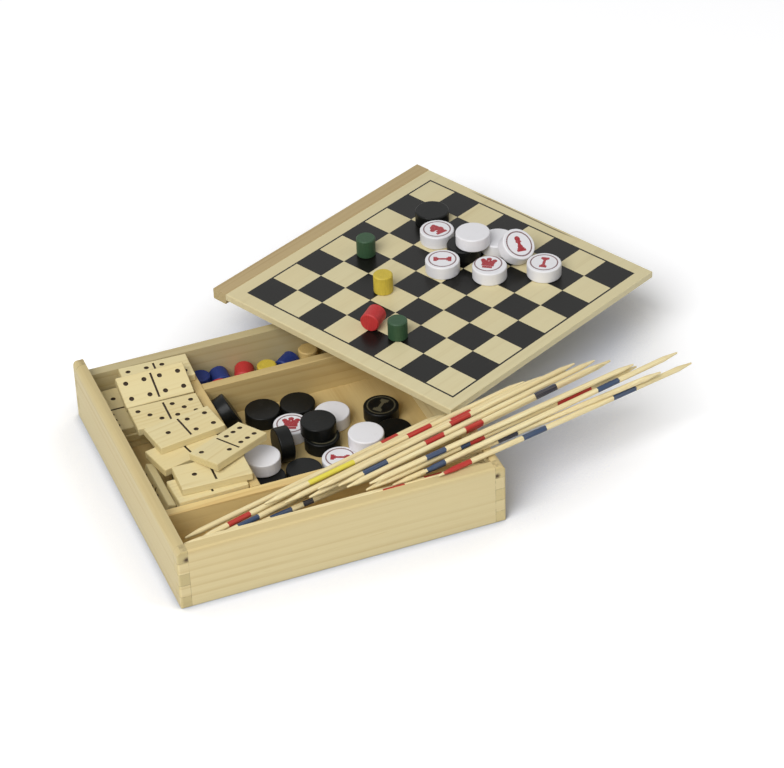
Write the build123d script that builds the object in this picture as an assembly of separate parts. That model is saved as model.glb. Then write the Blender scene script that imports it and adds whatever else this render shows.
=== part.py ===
from build123d import *
import os
from math import atan, cos, degrees, pi, radians, sin

# Games compendium box: an open wooden tray with dividers, a chessboard lid laid
# across one side of it, and the loose pieces of the games it holds.
# Millimetres. Origin at the centre of the tray's underside, +X to the right along
# the front, +Y to the rear, +Z up.

# ---- tray ----
WALL_H = 36.3             # front and side walls
REAR_LOW = 8.5            # the low rear wall, over which the lid slides in, under them
WALL_T = 6.0
BASE_T = 3.0
FINGER = WALL_H / 5       # height of one finger of the corner joints
TOP_ROUND = 4.0           # outer top edges of the side walls
EDGE_ROUND = 1.2          # front and rear top edges
FOOT_ROUND = 0.6
CORNER_ROUND = 1.5        # upright outer corners
NAIL_IN = 5.0             # from the tray's side face
NAIL_UP = 4.22865         # front nails above the table, in fingers
NAIL_UP_REAR = 2.72727
NAIL_R = 0.8
NAIL_DEEP = 2.5
NAIL_SUNK = 0.15
NAIL_GAP = 0.05

# ---- lid ----
LID_T = 4.0
LID_PLAY = 0.5            # from each side edge to the bottom of its groove
STRIP_OUT = 0.8           # pull strip past the tray's rear face when shut
STRIP_W = 9.9
STRIP_H = 6.9
LID_YAW = 25.94
PRINT_MARGIN = 8.7        # print corner to the board's side edge
PRINT_BACK = 7.7          # print corner to the pull strip
GROOVE_DEEP = 2.0
GROOVE_LOW = 5.7          # lower and upper faces of the groove under the walls' top
GROOVE_HIGH = 1.3

# ---- dividers ----
DIVIDER_T = 5.5
DIVIDER_OVER = 0.5        # above a domino stood on its long edge
DIVIDER_EDGE = 0.4
STICK_ROOM = 40.0         # front compartment, front to rear
MEN_ROOM = 92.0           # middle compartment, front to rear
TOKEN_ROOM = 27.0         # rear compartment, front to rear

# ---- pieces ----
DOM_L, DOM_W, DOM_T = 38.5, 20.5, 4.5
PIP_R, PIP_DEEP, PIP_STEP = 1.4, 0.5, 5.2
BAR_W, BAR_DEEP = 1.2, 0.4
DISC_D, DISC_T, DISC_EDGE = 19.6, 8.0, 0.8
PEG_D, PEG_H, PEG_EDGE = 11.0, 11.5, 0.6
STICK_D, STICK_L, STICK_TIP = 3.0, 165.0, 9.0
STICK_PLAY = 1.5          # at each end of a stick lying in its compartment
TOUCH = 0.15              # clearance between pieces that lean on one another
PILE_GAP = 0.75           # from the domino pile to the dividers
LEANER_TILT = 71.5        # domino standing between that pile and the left wall
LEANER_GAP = 0.65
BACK_PLAY = 1.1           # across the stack of dominoes in the rear left corner

# The tray is as long as its sticks, and as wide as its three compartments.
LEANER_RUN = DOM_W * cos(radians(LEANER_TILT))
LEANER_BACK = DOM_T * sin(radians(LEANER_TILT))
DOMINO_ROOM = DOM_L + PILE_GAP + LEANER_RUN + LEANER_BACK + 1.65 * LEANER_GAP
TRAY_L = STICK_L + 2 * (STICK_PLAY + WALL_T)
TRAY_W = STICK_ROOM + MEN_ROOM + TOKEN_ROOM + 2 * (WALL_T + DIVIDER_T)
LID_SIDE = TRAY_L - 2 * (WALL_T - GROOVE_DEEP + LID_PLAY)
LID_RUN = TRAY_W - WALL_T + GROOVE_DEEP + STRIP_OUT - STRIP_W

DIVIDER_TOP = BASE_T + DOM_W + DIVIDER_OVER
REAR_H = WALL_H - REAR_LOW

HX, HY = TRAY_L / 2, TRAY_W / 2
IX, IY = HX - WALL_T, HY - WALL_T
FLOOR = BASE_T
LID_Z = WALL_H
ON_LID = LID_Z + LID_T
STICK_WALL = -IY + STICK_ROOM          # front face of the stick divider
ROOM_FRONT = STICK_WALL + DIVIDER_T    # front limit of the other compartments
DOM_WALL = -IX + DOMINO_ROOM           # left face of the domino divider
ROOM_LEFT = DOM_WALL + DIVIDER_T
TOKEN_WALL = IY - TOKEN_ROOM           # rear face of the token divider
LID_AT = (HX - 72.4, HY + 17.8)        # near corner of the chessboard print

os.makedirs("parts", exist_ok=True)


def block(x0, x1, y0, y1, z0, z1):
    """A plain board between two corners."""
    mid = ((x0 + x1) / 2, (y0 + y1) / 2, (z0 + z1) / 2)
    return Pos(*mid) * Box(x1 - x0, y1 - y0, z1 - z0)


def save(name, shapes):
    """Write one node: a single solid, or several identical loose ones."""
    shapes = shapes if isinstance(shapes, list) else [shapes]
    body = shapes[0] if len(shapes) == 1 else Compound(children=shapes)
    export_step(body, f"parts/{name}.step")


def lay(shape, x, y, z, yaw=0.0):
    """Lay a piece flat with its underside centred on a point."""
    return Pos(x, y, z) * Rot(0, 0, yaw) * shape


def lean(shape, half, x, y, z, heading, tilt):
    """Stand a piece on its near edge and tip it up towards a heading."""
    return Pos(x, y, z) * Rot(0, 0, heading) * Rot(0, -tilt, 0) * Pos(half, 0, 0) * shape


# ---------------------------------------------------------------- tray walls
def eased(axis, top, foot):
    """The tray's outer block with its top and foot edges along one axis rounded."""
    body = Pos(0, 0, WALL_H / 2) * Box(TRAY_L, TRAY_W, WALL_H)
    body = fillet(body.edges().filter_by(axis).group_by(Axis.Z)[-1], top)
    return fillet(body.edges().filter_by(axis).group_by(Axis.Z)[0], foot)


def rounded_envelope():
    """The tray's outer shape with every outer edge eased."""
    upright = Pos(0, 0, WALL_H / 2) * Box(TRAY_L, TRAY_W, WALL_H)
    upright = fillet(upright.edges().filter_by(Axis.Z), CORNER_ROUND)
    sides = eased(Axis.Y, TOP_ROUND, FOOT_ROUND)
    ends = eased(Axis.X, EDGE_ROUND, FOOT_ROUND)
    return upright & sides & ends


ENVELOPE = rounded_envelope()


def end_fingers(hand, end, height):
    """Blocks a front (end -1) or rear (end 1) wall puts through a side wall."""
    x0, x1 = sorted((hand * IX, hand * HX))
    y0, y1 = sorted((end * IY, end * HY))
    return [
        block(x0, x1, y0, y1, FINGER * k, min(FINGER * (k + 1), height))
        for k in (1, 3) if FINGER * k < height
    ]


def nail_spots():
    """Centre and outward direction of the nail in each corner."""
    spots = []
    for hand in (-1, 1):
        spots.append((hand * (HX - NAIL_IN), -1, NAIL_UP * FINGER))
        spots.append((hand * (HX - NAIL_IN), 1, NAIL_UP_REAR * FINGER))
    return spots


def nail(x, end, z):
    """A nail shank with its head just below the wood's surface."""
    mid = end * (HY - NAIL_SUNK - NAIL_DEEP / 2)
    return Pos(x, mid, z) * Rot(90, 0, 0) * Cylinder(NAIL_R, NAIL_DEEP)


def nail_hole(x, end, z):
    depth = NAIL_SUNK + NAIL_DEEP + NAIL_GAP
    return Pos(x, end * (HY - depth / 2), z) * Rot(90, 0, 0) * Cylinder(NAIL_R + NAIL_GAP, depth)


def side_wall(hand):
    x0, x1 = sorted((hand * IX, hand * HX))
    wall = block(x0, x1, -HY, HY, 0, WALL_H)
    for finger in end_fingers(hand, -1, WALL_H) + end_fingers(hand, 1, REAR_H):
        wall -= finger
    g0, g1 = sorted((hand * IX, hand * (IX + GROOVE_DEEP)))
    wall -= block(g0, g1, -IY - GROOVE_DEEP, HY, WALL_H - GROOVE_LOW, WALL_H - GROOVE_HIGH)
    for spot in nail_spots():
        if spot[0] * hand > 0:
            wall -= nail_hole(*spot)
    return wall & ENVELOPE


def front_wall():
    wall = block(-IX, IX, -HY, -IY, 0, WALL_H)
    for hand in (-1, 1):
        for finger in end_fingers(hand, -1, WALL_H):
            wall += finger
    wall -= block(-IX, IX, -IY - GROOVE_DEEP, -IY, WALL_H - GROOVE_LOW, WALL_H - GROOVE_HIGH)
    return wall & ENVELOPE


def rear_wall():
    wall = block(-IX, IX, IY, HY, 0, REAR_H)
    for hand in (-1, 1):
        for finger in end_fingers(hand, 1, REAR_H):
            wall += finger
    return wall & ENVELOPE


save("base_panel", block(-IX, IX, -IY, IY, 0, BASE_T))
save("left_wall", side_wall(-1))
save("right_wall", side_wall(1))
save("front_wall", front_wall())
save("rear_wall", rear_wall())
save("corner_nails", [nail(*spot) for spot in nail_spots()])


def divider(x0, x1, y0, y1, along):
    """A board standing on the base, its two long upper edges eased."""
    board = block(x0, x1, y0, y1, FLOOR, DIVIDER_TOP)
    return chamfer(board.edges().filter_by(along).group_by(Axis.Z)[-1], DIVIDER_EDGE)


save("stick_divider", divider(-IX, IX, STICK_WALL, ROOM_FRONT, Axis.X))
save("domino_divider", divider(DOM_WALL, ROOM_LEFT, ROOM_FRONT, IY, Axis.Y))
save("token_divider", divider(ROOM_LEFT, IX, TOKEN_WALL - DIVIDER_T, TOKEN_WALL, Axis.X))


# ---------------------------------------------------------------- lid
def on_lid_plane(shape, z):
    """Turn a shape drawn in the lid's own frame (X across, Y away from the strip)."""
    return Pos(*LID_AT, z) * Rot(0, 0, LID_YAW) * shape


def lid_block(y_near, y_far, z0, z1):
    return block(-PRINT_MARGIN, LID_SIDE - PRINT_MARGIN, -y_far, -y_near, z0, z1)


board = lid_block(-PRINT_BACK, LID_RUN - PRINT_BACK, 0, LID_T)
board = chamfer(board.edges().group_by(Axis.Z)[-1], 0.4)
strip = lid_block(-PRINT_BACK - STRIP_W, -PRINT_BACK, LID_T - STRIP_H, LID_T)
strip = chamfer(strip.edges().filter_by(Axis.X), 0.4)
save("lid_board", on_lid_plane(board, LID_Z))
save("lid_strip", on_lid_plane(strip, LID_Z))


# ---------------------------------------------------------------- dominoes
PIPS = {
    "0": [],
    "1": [(0, 0)],
    "2": [(-1, 1), (1, -1)],
    "3": [(-1, 1), (0, 0), (1, -1)],
    "4": [(-1, 1), (1, 1), (-1, -1), (1, -1)],
    "5": [(-1, 1), (1, 1), (0, 0), (-1, -1), (1, -1)],
    "6": [(-1, 1), (0, 1), (1, 1), (-1, -1), (0, -1), (1, -1)],
}


def domino(ends):
    """A tile with drilled pips, counted left end then right, and a sawn centre line."""
    tile = Pos(0, 0, DOM_T / 2) * Box(DOM_L, DOM_W, DOM_T)
    tile = chamfer(tile.edges(), 0.35)
    cuts = [Pos(0, 0, DOM_T) * Box(BAR_W, DOM_W - 4.0, 2 * BAR_DEEP)]
    for side, count in zip((-1, 1), ends):
        for px, py in PIPS[count]:
            cuts.append(Pos(side * DOM_L / 4 + px * PIP_STEP, py * PIP_STEP, DOM_T)
                        * Cylinder(PIP_R, 2 * PIP_DEEP))
    return tile - cuts


def tier(level):
    """Underside height of a tile lying in a pile."""
    return FLOOR + DOM_T * level


# Pile in the front corner of the left compartment: six tiles, the top one apart.
PILE_X = DOM_WALL - DOM_L / 2 - PILE_GAP
PILE_Y = ROOM_FRONT + DOM_W / 2 + PILE_GAP
PILE_YAW = (1.0, -1.5, 0.5, -0.5, 1.5, -2.0)
PILE_PIPS = ("66", "54", "30", "22", "00", "10")
pile = [lay(domino(PILE_PIPS[k]), PILE_X, PILE_Y, tier(k), PILE_YAW[k]) for k in range(6)]
save("dominoes_front_pile", pile[:5])
save("domino_pile_top", Pos(4.0, 3.5, 0) * pile[5])

# A tile on its long edge leaning against the ends of that pile.
leaner = Rot(0, 0, 90) * domino("25")
leaner_x = PILE_X - DOM_L / 2 - LEANER_GAP - LEANER_RUN
save("domino_leaning",
     lean(leaner, DOM_W / 2, leaner_x, ROOM_FRONT + 22.5, FLOOR, 0, LEANER_TILT))

# Four tiles on their long edges carry the tiles that lie across the compartment.
TILES_X, TILES_Y = DOM_WALL, ROOM_FRONT
RAIL_TOP = FLOOR + DOM_W
RAIL_LEFT = -IX + DOM_W + BACK_PLAY + DOM_T
rails = []
for pips, rail_x, rail_y in (
        ("33", RAIL_LEFT, TILES_Y + 45.0), ("31", RAIL_LEFT, TILES_Y + 89.0),
        ("43", TILES_X - 3.7, TILES_Y + 45.0), ("21", TILES_X - 3.7, TILES_Y + 89.0)):
    upright = Rot(0, -90, 0) * Pos(DOM_W / 2, 0, 0) * Rot(0, 0, 90) * domino(pips)
    rails.append(Pos(rail_x, rail_y, FLOOR) * upright)
save("dominoes_on_edge", rails)

# Three more lie in a stack in the rear left corner, between the wall and those on edge.
BACK_X = -IX + (DOM_W + BACK_PLAY) / 2
BACK_Y = IY - DOM_L / 2 - BACK_PLAY
back = [lay(domino("64"), BACK_X, BACK_Y, tier(0), 90.4),
        lay(domino("50"), BACK_X, BACK_Y - 0.6, tier(1), 89.3),
        lay(domino("61"), BACK_X, BACK_Y + 0.2, tier(2), 90.6)]
save("dominoes_back_stack", back)

ON_RAILS = RAIL_TOP + DOM_T
save("domino_crossing", lay(domino("02"), TILES_X - 21.7, TILES_Y + 41.1, RAIL_TOP, 13.0))
save("domino_one_four", lay(domino("14"), TILES_X - 18.3, TILES_Y + 53.1, ON_RAILS, 9.0))
save("domino_three_five", lay(domino("35"), TILES_X - 20.7, TILES_Y + 76.3, RAIL_TOP, -1.5))

# Rearmost tile: its right end lies on the divider, half a millimetre higher.
REAR_TIP = 0.8
rear_tile = Rot(0, -REAR_TIP, 0) * domino("42")
save("domino_four_two",
     Pos(TILES_X - 14.7, TILES_Y + 113.0, DIVIDER_TOP - 0.15) * Rot(0, 0, -3) * rear_tile)

# Double four: front edge behind the three-five, leaning back on the rearmost tile.
four_four = Rot(0, 0, -90) * domino("44")
save("domino_double_four",
     lean(four_four, DOM_W / 2, TILES_X - 20.7, TILES_Y + 89.1, RAIL_TOP + TOUCH, 90, 20.6))

# Two-six: across the front pile's top tile and the crossing tile, over the divider.
TWO_SIX_SPAN = 17.5538    # between those two supports
two_six_tilt = degrees(atan((tier(6) - ON_RAILS) / TWO_SIX_SPAN))
two_six = Rot(-two_six_tilt, 0, 0) * Rot(0, 0, 28.5) * domino("26")
save("domino_two_six",
     Pos(TILES_X - 2.3, TILES_Y + 27.5, (tier(6) + ON_RAILS) / 2 + 0.8) * two_six)

# A stack on the table under the lid's far side, as many tiles as fit: they hold it up.
PROP_YAW = (24.0, 27.0, 25.5, 23.0, 26.5, 28.0, 25.0, 26.0)
PROP_PIPS = ("65", "63", "55", "40", "60", "51", "11", "32")
save("domino_prop_stack",
     [lay(domino(PROP_PIPS[k % 8]), HX + 61.0, HY + 42.0, DOM_T * k, PROP_YAW[k % 8])
      for k in range(int(LID_Z / DOM_T))])


# ---------------------------------------------------------------- draughtsmen
def disc():
    man = Pos(0, 0, DISC_T / 2) * Cylinder(DISC_D / 2, DISC_T)
    return fillet(man.edges().filter_by(GeomType.CIRCLE), DISC_EDGE)


DISC_R = DISC_D / 2
DISC_UP = FLOOR + DISC_T


def on_lid(shape, x, y, z=ON_LID, yaw=0.0):
    """Lay a piece on the lid, placed from the print's near corner."""
    return lay(shape, LID_AT[0] + x, LID_AT[1] + y, z, yaw)


# On the lid.
save("disc_white_knight", on_lid(disc(), 117.9, 4.8))
save("disc_white_pawn_near", on_lid(disc(), 109.0, -25.0))
save("disc_white_crown", on_lid(disc(), 130.8, -41.5))
save("disc_white_pawn_far", on_lid(disc(), 159.8, -51.6))
save("disc_black_lid_rear", on_lid(disc(), 123.0, 24.8))
save("disc_black_lid_front", on_lid(disc(), 126.2, -15.2))
PROPPER = (146.0, -17.6)
save("disc_white_plain_low", on_lid(disc(), *PROPPER))
save("disc_white_plain_top", on_lid(disc(), 130.9, -17.3, ON_LID + DISC_T))

# One disc stands on its rim on the lid and leans back over a lying one.
LEAN_TILT, LEAN_HEADING = 35.0, 109.4
reach = DISC_R + (DISC_T + TOUCH) * cos(radians(LEAN_TILT)) / sin(radians(LEAN_TILT))
save("disc_white_leaning",
     lean(disc(), DISC_R,
          LID_AT[0] + PROPPER[0] - reach * cos(radians(LEAN_HEADING)),
          LID_AT[1] + PROPPER[1] - reach * sin(radians(LEAN_HEADING)), ON_LID + TOUCH,
          LEAN_HEADING, LEAN_TILT))


def in_men_room(shape, x, y, z=FLOOR, yaw=0.0):
    """Lay a piece in the middle compartment, placed from its near left corner."""
    return lay(shape, ROOM_LEFT + x, ROOM_FRONT + y, z, yaw)


# In the middle compartment.
BLACK_MAIN = ((28.3, 79.1), (48.0, 77.1), (49.8, 43.4), (30.8, 19.9), (71.8, 20.3))
WHITE_MAIN = ((62.5, 61.6), (38.0, 60.1), (51.8, 21.2))
BLACK_RIGHT = ((89.0, 55.9), (87.8, 33.2))
save("discs_black_main", [in_men_room(disc(), x, y) for x, y in BLACK_MAIN])
save("discs_white_main", [in_men_room(disc(), x, y) for x, y in WHITE_MAIN])
save("discs_black_right", [in_men_room(disc(), x, y) for x, y in BLACK_RIGHT])
save("disc_black_upper", in_men_room(disc(), 49.2, 46.9, DISC_UP))
save("disc_white_upper", in_men_room(disc(), 69.0, 26.3, DISC_UP))
save("disc_black_left", in_men_room(disc(), 10.7, 21.4))
save("disc_white_left", in_men_room(disc(), 11.0, 29.6, DISC_UP))

# One disc on its rim, and one leaning against the domino divider.
save("disc_black_on_rim",
     in_men_room(Rot(0, 90, 0) * disc(), 23.0, 42.0, FLOOR + DISC_R))
WALL_TILT = 63.0
wall_x = ROOM_LEFT + TOUCH + DISC_D * cos(radians(WALL_TILT))
save("disc_black_leaning", lean(disc(), DISC_R, wall_x, ROOM_FRONT + 81.0, FLOOR, 180, WALL_TILT))


# ---------------------------------------------------------------- pegs
def peg():
    """A short wooden peg, eased at both ends."""
    body = Pos(0, 0, PEG_H / 2) * Cylinder(PEG_D / 2, PEG_H)
    return chamfer(body.edges().filter_by(GeomType.CIRCLE), PEG_EDGE)


def lying_peg():
    """A peg on its side, its axis along X."""
    return Pos(0, 0, PEG_D / 2) * Rot(0, 90, 0) * Pos(0, 0, -PEG_H / 2) * peg()


def in_token_room(shape, x, y, yaw=0.0):
    """Lay a piece in the rear compartment, placed from its near left corner."""
    return lay(shape, ROOM_LEFT + x, TOKEN_WALL + y, FLOOR, yaw)


save("peg_green_rear", on_lid(peg(), 75.7, 8.6))
save("peg_yellow", on_lid(peg(), 71.0, -30.1))
save("peg_red", on_lid(lying_peg(), 53.5, -59.7, yaw=45.0))
save("peg_green_front", on_lid(peg(), 61.9, -74.9))
save("pegs_blue_in_tray",
     [in_token_room(peg(), 5.8, 20.8), in_token_room(lying_peg(), 17.2, 20.5, 88.0),
      in_token_room(lying_peg(), 56.0, 18.8, 40.0)])
save("pegs_red_in_tray",
     [in_token_room(peg(), 13.4, 8.6), in_token_room(lying_peg(), 30.8, 19.4, 70.0)])
save("peg_yellow_in_tray", in_token_room(peg(), 43.0, 15.2))
save("peg_plain_in_tray", in_token_room(peg(), 69.4, 20.6))


# ---------------------------------------------------------------- sticks
def stick(x, y, z, yaw, tilt):
    """A pick-up stick from its left tip, turned and tipped up to the right."""
    shaft = STICK_L - 2 * STICK_TIP
    rod = Pos(STICK_L / 2, 0, 0) * Rot(0, 90, 0) * Cylinder(STICK_D / 2, shaft)
    for near, turn in ((STICK_TIP / 2, -90), (STICK_L - STICK_TIP / 2, 90)):
        rod += Pos(near, 0, 0) * Rot(0, turn, 0) * Cone(STICK_D / 2, 0.5, STICK_TIP)
    return Pos(x, y, z) * Rot(0, 0, yaw) * Rot(0, -tilt, 0) * rod


REST = DIVIDER_TOP + STICK_D / 2 + 0.2          # lying across the stick divider
STEP = STICK_D + 0.35                           # from one layer of sticks to the next


def inner(x, y, z, yaw):
    """A level stick whose left tip is placed from the tray's near left corner."""
    return stick(-IX + x, -IY + y, z, yaw, 0.0)


def outer(x, y, z, yaw, tilt):
    """A stick over the right wall, its left tip placed from that wall's front top corner."""
    return stick(IX - x, -IY + y, WALL_H + z, yaw, tilt)


# Inside the tray, right ends over the stick divider.
save("sticks_inner_low", [
    inner(5.6, 17.1, REST, 15.5),
    inner(6.6, 8.7, REST, 13.5),
    inner(5.7, 4.6, REST, 12.2)])
save("sticks_inner_high", [
    inner(9.6, 8.6, REST + STEP, 17.0),
    inner(9.0, 3.8, REST + STEP, 16.6)])

# Along the inside of the front wall.
save("sticks_inner_front", [
    inner(STICK_PLAY, 5.0, WALL_H - 4.1, 0.0),
    inner(STICK_PLAY, 1.8, WALL_H - 2.4, 0.0)])

# Lying over the right wall with their tips beyond it, in three layers.
save("sticks_outer_low", [
    outer(30.1, -2.2, 1.8, 12.1, 0.5),
    outer(53.4, 3.6, -1.15, 7.9, 3.0),
    outer(67.1, 6.2, -1.85, 10.2, 3.0)])
save("sticks_outer_mid", [
    outer(70.6, 12.3, -2.05, 12.5, 3.0),
    outer(95.5, 14.0, -3.25, 12.6, 3.0),
    outer(108.8, 14.4, -2.95, 13.3, 2.5),
    outer(119.0, 16.9, -2.35, 12.7, 2.0)])
save("sticks_outer_high", [
    outer(38.6, 1.9, 3.05, 11.1, 3.0),
    outer(63.5, 2.6, 1.75, 10.5, 3.0),
    outer(80.0, 11.9, 0.85, 12.6, 3.0),
    outer(90.6, 14.4, 0.35, 12.6, 3.0),
    outer(76.5, 8.8, 1.05, 12.2, 3.0)])
save("sticks_outer_top", outer(66.5, 2.2, 5.05, 10.0, 3.0))
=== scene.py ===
"""Dresses the wooden games box: tray, chessboard lid, dominoes, draughtsmen, pegs and sticks."""

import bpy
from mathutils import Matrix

bl_info = {
    "name": "Games compendium box",
    "version": (1, 0, 0),
    "blender": (4, 5, 0),
    "location": "3D View > Sidebar > Games box",
    "description": "Timber, paint and print for a wooden games box and its loose pieces",
    "category": "Object",
}

from math import cos, radians, sin

import bpy
from mathutils import Matrix, Vector

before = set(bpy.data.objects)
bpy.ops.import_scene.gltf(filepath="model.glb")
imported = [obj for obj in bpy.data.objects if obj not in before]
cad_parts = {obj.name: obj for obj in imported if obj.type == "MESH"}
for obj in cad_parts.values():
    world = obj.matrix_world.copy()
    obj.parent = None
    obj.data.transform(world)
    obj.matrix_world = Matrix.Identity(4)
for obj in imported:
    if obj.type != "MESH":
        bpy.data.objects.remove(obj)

MM = 0.001

# ---- sizes repeated from the model, in millimetres ----
HALF_X, HALF_Y = 90.0, 91.0
WALL_H, WALL_T = 36.3, 6.0
FINGER = WALL_H / 5
NAIL_IN, NAIL_DOWN = 5.0, 5.6           # front nails, from the side face and the wall's top
FLOOR = 3.0                             # upper face of the tray's base
LID_AT, LID_YAW = (17.6, 108.8), 25.94  # origin of the lid's frame, beside the print's left corner
PRINT_IN = (1.26, 1.76)                 # from there to the first square, along and across the lid
ON_LID = 40.3                           # upper face of the lid
TILE_L, TILE_W, TILE_T = 38.5, 20.5, 4.5
MAN_D, MAN_T = 19.6, 8.0
PROPPER = (163.6, 91.2)                 # the man on the lid that another leans on
LEAN_TILT, LEAN_HEADING = 35.0, 109.4
TOUCH = 0.15                            # clearance between pieces that lean on one another
STICK_D = 3.0

# ---- stage, in metres ----
FLOOR_SIDE = 12.0
# painted shade of the floor: its colour is darkened and tinted bluer where pieces stand near, and
# darker still right under them
SHADED_OVER, FOOT_SHADOW_OVER = 0.15, 0.007    # reach of the shade round pieces, and right under them
SHADED, FOOT_SHADOW = (0.76, 0.80, 0.92), (0.50, 0.51, 0.50)
LIFT = 0.31                             # white added to the open floor
AIM = (0.02, 0.03, 0.02)                # the spot that the lamps point at
WHITE = (1.0, 1.0, 1.0)



def linear(red, green, blue):
    """A colour typed as screen values 0-255, as the linear values a shader takes."""
    return tuple((c / 255 / 12.92) if c <= 10 else ((c / 255 + 0.055) / 1.055) ** 2.4
                 for c in (red, green, blue))


def dim(shade, tone):
    """A colour made darker or lighter."""
    return tuple(part * tone for part in shade)


def colour(label, about, shade):
    """A colour setting, typed as screen values."""
    return bpy.props.FloatVectorProperty(
        name=label, description=about, subtype="COLOR", size=3, min=0, max=1,
        default=linear(*shade))


def length(label, about, millimetres):
    """A length setting."""
    return bpy.props.FloatProperty(
        name=label, description=about, subtype="DISTANCE", unit="LENGTH", min=0,
        default=millimetres * MM)


def share(label, about, value, top=1.0):
    """A plain factor setting."""
    return bpy.props.FloatProperty(
        name=label, description=about, subtype="FACTOR", min=0, max=top, default=value)


# ---------------------------------------------------------------- settings
class GamesTimberSettings(bpy.types.PropertyGroup):
    """Colours and figure of the woods"""
    tray_light: colour("Tray", "Pale wood of the tray walls", (211, 196, 150))
    tray_dark: colour("Tray rings", "Darker growth rings of the tray walls", (193, 172, 122))
    inner_light: colour("Dividers", "Wood of the dividers and the base", (208, 184, 127))
    inner_dark: colour("Divider rings", "Darker rings of the dividers", (183, 150, 91))
    lid_light: colour("Lid", "Varnished wood of the lid", (215, 204, 163))
    lid_dark: colour("Lid rings", "Darker rings of the lid", (204, 190, 147))
    strip_light: colour("Pull strip", "Wood of the lid's pull strip", (184, 163, 120))
    strip_dark: colour("Pull strip rings", "Darker rings of the strip", (160, 134, 92))
    tile_light: colour("Dominoes", "Wood of the dominoes", (222, 208, 160))
    tile_dark: colour("Domino rings", "Darker rings of the dominoes", (205, 184, 132))
    stick_light: colour("Sticks", "Wood of the sticks", (242, 230, 184))
    stick_dark: colour("Stick fibres", "Darker fibres of the sticks", (216, 192, 138))
    end_grain: colour("End grain", "Wood cut across the fibres", (183, 169, 117))
    # also the colour of the painted shadow line along the lid's far edge
    stain_and_shadow: colour("Stain", "Dark stain in joints, knots and nail holes", (74, 50, 26))
    ring_gap: length("Ring gap", "Distance from one growth ring to the next", 5.2)
    fibre_depth: length("Fibre depth", "Depth of the fine fibres on the surface", 0.06)


class GamesPrintSettings(bpy.types.PropertyGroup):
    """Chessboard print and the inks"""
    square: length("Square", "Side of one square of the chessboard", 19.0)
    border: length("Border line", "Width of the thin line round the chessboard", 1.1)
    board_ink: colour("Board ink", "Black ink of the chessboard", (17, 16, 13))
    pip_ink: colour("Pips", "Dark stain in the dominoes' pips and centre lines", (46, 32, 18))
    red_ink: colour("Red ink", "Figures printed on the white men", (156, 24, 36))
    ring_ink: colour("Ring ink", "Ring printed round those figures", (104, 60, 62))
    gold_ink: colour("Gold ink", "Rings and figures printed on the black men", (88, 84, 66))
    ring_radius: length("Ring radius", "Radius of the printed ring", 7.6)


class GamesPaintSettings(bpy.types.PropertyGroup):
    """Paints of the men, the pegs and the sticks"""
    man_white: colour("White men", "White lacquer", (228, 227, 230))
    man_black: colour("Black men", "Black lacquer", (15, 16, 15))
    green: colour("Green", "Green stain of the pegs", (50, 80, 54))
    yellow: colour("Yellow", "Yellow stain of the pegs", (208, 184, 68))
    red: colour("Red", "Red stain of the pegs", (190, 52, 52))
    blue: colour("Blue", "Blue stain of the pegs", (36, 54, 118))
    plain: colour("Plain", "Pegs left as plain wood", (214, 184, 118))
    band_red: colour("Red band", "Red band of the sticks", (178, 48, 42))
    band_blue: colour("Blue band", "Blue band of the sticks", (52, 70, 98))
    band_yellow: colour("Yellow band", "Yellow band of the sticks", (222, 210, 78))
    band_dark: colour("Dark band", "Near-black band of the sticks", (44, 46, 60))
    nail: colour("Nails", "Dull steel of the nail heads", (96, 84, 70))


class GamesStageSettings(bpy.types.PropertyGroup):
    """Floor, light and camera"""
    floor: colour("Floor", "Pale floor", (250, 250, 251))
    lens: bpy.props.FloatProperty(
        name="Lens", description="Focal length of the camera", unit="CAMERA",
        default=136.816, min=1)
    key: bpy.props.FloatProperty(
        name="Key light", description="Strength of the main soft light", subtype="POWER",
        default=47.0, min=0)
    fill: bpy.props.FloatProperty(
        name="Fill light", description="Strength of the light opposite", subtype="POWER",
        default=3.0, min=0)
    ambient: share("Ambient", "Strength of the even light from all round", 0.28, 2.0)


SETTINGS = (
    ("games_timber", GamesTimberSettings),
    ("games_print", GamesPrintSettings),
    ("games_paint", GamesPaintSettings),
    ("games_stage", GamesStageSettings),
)


# ---------------------------------------------------------------- places
def at(x, y, z):
    """Frame moved to a point."""
    return Matrix.Translation((x, y, z))


def turn(axis, degrees):
    """Frame turned about one axis."""
    return Matrix.Rotation(radians(degrees), 4, axis)


def lay(x, y, z, yaw=0.0):
    """Frame of a piece lying flat on its underside."""
    return at(x, y, z) @ turn("Z", yaw)


def lean(half, x, y, z, heading, tilt):
    """Frame of a piece stood on its near edge and tipped up towards a heading."""
    return at(x, y, z) @ turn("Z", heading) @ turn("Y", -tilt) @ at(half, 0, 0)


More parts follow.
